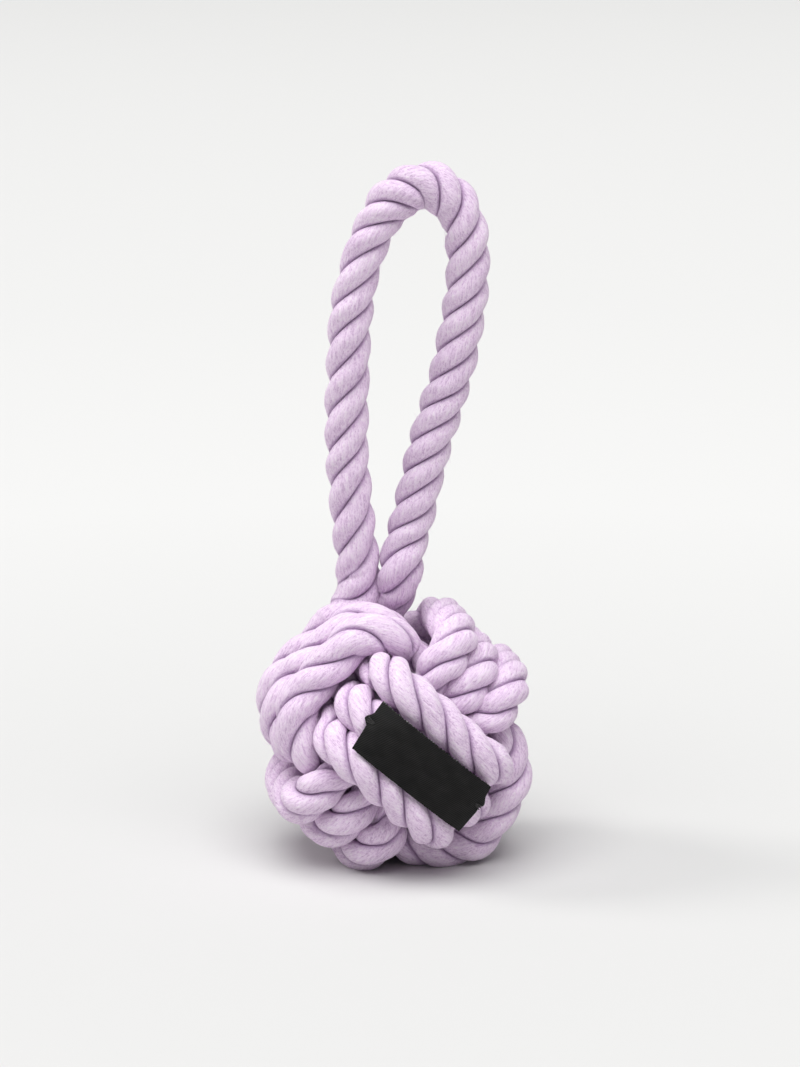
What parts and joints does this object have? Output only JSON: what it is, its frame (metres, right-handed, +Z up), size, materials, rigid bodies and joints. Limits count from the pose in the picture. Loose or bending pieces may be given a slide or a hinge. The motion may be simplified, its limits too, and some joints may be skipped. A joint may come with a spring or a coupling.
{
  "type": "rope ball toy",
  "caption": "Soft cotton rope tied into a round ball knot, with a standing rope loop to hold it by and a small plain black ribbon label.",
  "frame": {"origin": "middle of the part's box at floor level, on the plane of the flat foot", "axes": "+X to the right when the label faces the viewer, +Y away from the viewer, +Z up along the loop"},
  "size_m": [0.0856, 0.085, 0.211],
  "materials": {
    "rope": "matte",
    "core": "matte",
    "label": "satin",
    "thread": "matte"
  },
  "bodies": {
    "ball": {"front_band": "rope", "dome_band": "rope", "side_band": "rope", "core": "core", "loop_tail": "rope", "tail_whipping": "thread", "label": "label", "stitch_upper": "thread", "stitch_lower": "thread"},
    "neck": {"neck_left": "rope", "neck_right": "rope"},
    "loop": {"loop_left_leg": "rope", "loop_right_leg": "rope", "loop_top_bend": "rope"}
  },
  "joints": [
    {"name": "loop_nod", "type": "hinge", "parent": "ball", "child": "neck", "pos_m": [-0.005, 0.0115, 0.0891], "axis": [1, 0, 0], "range_deg": [-60, 60], "stiffness_Nm_per_rad": 0.25, "deforming": ["neck_left", "neck_right"]},
    {"name": "loop_sway", "type": "hinge", "parent": "neck", "child": "loop", "pos_m": [-0.0045, 0.0112, 0.0981], "axis": [0, 1, 0], "range_deg": [-35, 35], "stiffness_Nm_per_rad": 0.35, "deforming": ["neck_left", "neck_right"]}
  ]
}
